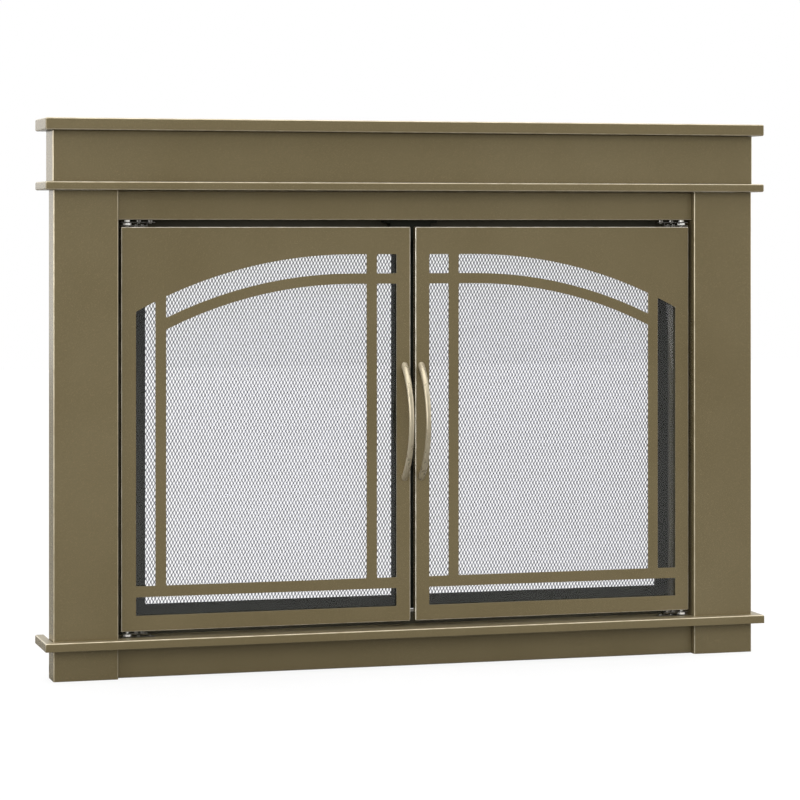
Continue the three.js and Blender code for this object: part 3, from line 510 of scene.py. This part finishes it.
def makeBow(side):
    low, high = (Vector(corner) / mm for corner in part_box(f"{side}_handle"))
    middle = (low + high) / 2
    foot = high.y
    radius = (bowSizes["footSpan"] ** 2 / 4 + bowSizes["reach"] ** 2) / (2 * bowSizes["reach"])
    centre = radius - bowSizes["reach"]
    halfAngle = math.asin(bowSizes["footSpan"] / 2 / radius) + bowSizes["overrun"]
    points = []
    faces = []
    for ring in range(bowSizes["rings"] + 1):
        along = 2 * ring / bowSizes["rings"] - 1
        angle = halfAngle * along
        share = 1 + bowSizes["swell"] * along ** 2
        outward = Vector((0, -math.cos(angle), math.sin(angle)))
        spine = Vector((middle.x, foot + centre, middle.z)) + outward * radius
        for step in range(bowSizes["sides"]):
            turn = 2 * math.pi * step / bowSizes["sides"]
            offset = Vector((math.cos(turn) * bowSizes["width"] / 2 * share, 0, 0))
            offset += outward * math.sin(turn) * bowSizes["thickness"] / 2 * share
            points.append(tuple((spine + offset) * mm))
    count = bowSizes["sides"]
    for ring in range(bowSizes["rings"]):
        for step in range(count):
            after = (step + 1) % count
            near = ring * count
            far = near + count
            faces.append((near + step, near + after, far + after, far + step))
    faces.append(tuple(range(count)))
    faces.append(tuple(reversed(range(bowSizes["rings"] * count, (bowSizes["rings"] + 1) * count))))
    bow = newPiece(f"{side}_bow", points, faces, "satin_metal", f"{side}_door")
    shape = bmesh.new()
    shape.from_mesh(bow.data)
    every = shape.verts[:] + shape.edges[:] + shape.faces[:]
    cutAway = bmesh.ops.bisect_plane(
        shape, geom=every, plane_co=(0, foot * mm, 0), plane_no=(0, 1, 0), clear_outer=True)
    rim = [e for e in cutAway["geom_cut"] if isinstance(e, bmesh.types.BMEdge)]
    bmesh.ops.holes_fill(shape, edges=rim)
    bmesh.ops.recalc_face_normals(shape, faces=shape.faces)
    for edge in rim:
        edge.smooth = False
    shape.to_mesh(bow.data)
    shape.free()
    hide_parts(f"{side}_handle")


for side in ("left", "right"):
    makeBow(side)
print("handles bowed")


# Rays that reach the backdrop from the camera, also through the glass, without lighting anything on the way.
firstBounce = 0.5


def seenStraight(tree):
    rays = tree.add("ShaderNodeLightPath").outputs
    seen = tree.math("MAXIMUM", rays["Is Camera Ray"], rays["Is Transmission Ray"])
    return tree.math("MULTIPLY", seen, tree.math("LESS_THAN", rays["Diffuse Depth"], firstBounce))


# Plain pale floor. What the camera sees of it is nearly as bright as the backdrop.
floorLook = {
    "reach": 9.0, "seenTone": (0.05, 0.05, 0.05, 1), "bounceTone": (0.14, 0.137, 0.13, 1), "glow": 0.86,
    "roughness": 0.9, "specular": 0.1, "grain": {"Scale": 3.0, "Detail": 4.0}, "grainShare": 0.05,
}


def layFloor():
    reach = floorLook["reach"]
    corners = [(-reach, -reach, 0), (reach, -reach, 0), (reach, reach, 0), (-reach, reach, 0)]
    mesh = bpy.data.meshes.new("floor")
    mesh.from_pydata(corners, [], [(0, 1, 2, 3)])
    floor = bpy.data.objects.new("floor", mesh)
    bpy.context.collection.objects.link(floor)
    material, tree, shader = newMaterial(
        "paleFloor", Roughness=floorLook["roughness"], Specular_IOR_Level=floorLook["specular"])
    place = tree.add("ShaderNodeTexCoord").outputs["Object"]
    grain = tree.add("ShaderNodeTexNoise", Vector=place, **floorLook["grain"]).outputs[0]
    seen = seenStraight(tree)
    tone = tree.blend(seen, floorLook["bounceTone"], floorLook["seenTone"])
    paler = tree.math("MULTIPLY", grain, floorLook["grainShare"])
    tree.feed(shader.inputs["Base Color"], tree.blend(paler, tone, (1, 1, 1, 1)))
    tree.feed(shader.inputs["Emission Strength"], tree.math("MULTIPLY", seen, floorLook["glow"]))
    shader.inputs["Emission Color"].default_value = (1, 1, 1, 1)
    mesh.materials.append(material)


layFloor()


# Studio surround: white behind the object, bright overhead, quiet on the camera's side.
# A side has its axis, where its light starts and is full along it, and how strong that light is.
skyLook = {
    "seen": 1.0, "base": 0.22,
    "sides": {
        "behind": ("Y", 0.0, 0.8, 0.9), "above": ("Z", 0.6, 0.95, 3.0),
        "left": ("X", -0.55, -0.95, 4.0), "right": ("X", 0.5, 0.9, 1.6),
    },
}


def lightSky():
    world = bpy.data.worlds.new("studio")
    world.use_nodes = True
    bpy.context.scene.world = world
    tree = Tree(world.node_tree)
    place = tree.add("ShaderNodeTexCoord").outputs["Generated"]
    direction = tree.add("ShaderNodeSeparateXYZ", Vector=place).outputs
    strength = skyLook["base"]
    for axis, start, full, power in skyLook["sides"].values():
        share = tree.math("MULTIPLY", tree.span(direction[axis], start, full), power)
        strength = tree.math("ADD", share, strength)
    straight = seenStraight(tree)
    background = world.node_tree.nodes["Background"]
    background.inputs["Color"].default_value = (1, 1, 1, 1)
    tree.feed(background.inputs["Strength"],
              tree.math("ADD", tree.math("MULTIPLY", straight, skyLook["seen"]),
                        tree.math("MULTIPLY", tree.math("SUBTRACT", 1.0, straight), strength)))


lightSky()

lamps = {
    "key": {"place": (-1.0, -3.4, 1.9), "aim": (0, 0, 0.7), "size": 2.4, "power": 93},
    "fill": {"place": (2.6, -2.8, 1.4), "aim": (0, 0, 0.4), "size": 2.4, "power": 32},
}


def hangLamp(name, lamp):
    light = bpy.data.lights.new(name, "AREA")
    light.size = lamp["size"]
    light.energy = lamp["power"]
    lampObject = bpy.data.objects.new(name, light)
    lampObject.location = lamp["place"]
    lampObject.visible_glossy = False
    aim = Vector(lamp["aim"]) - Vector(lamp["place"])
    lampObject.rotation_euler = aim.to_track_quat("-Z", "Y").to_euler()
    bpy.context.collection.objects.link(lampObject)


for name, lamp in lamps.items():
    hangLamp(name, lamp)
print("studio lit")

bpy.context.view_layer.update()
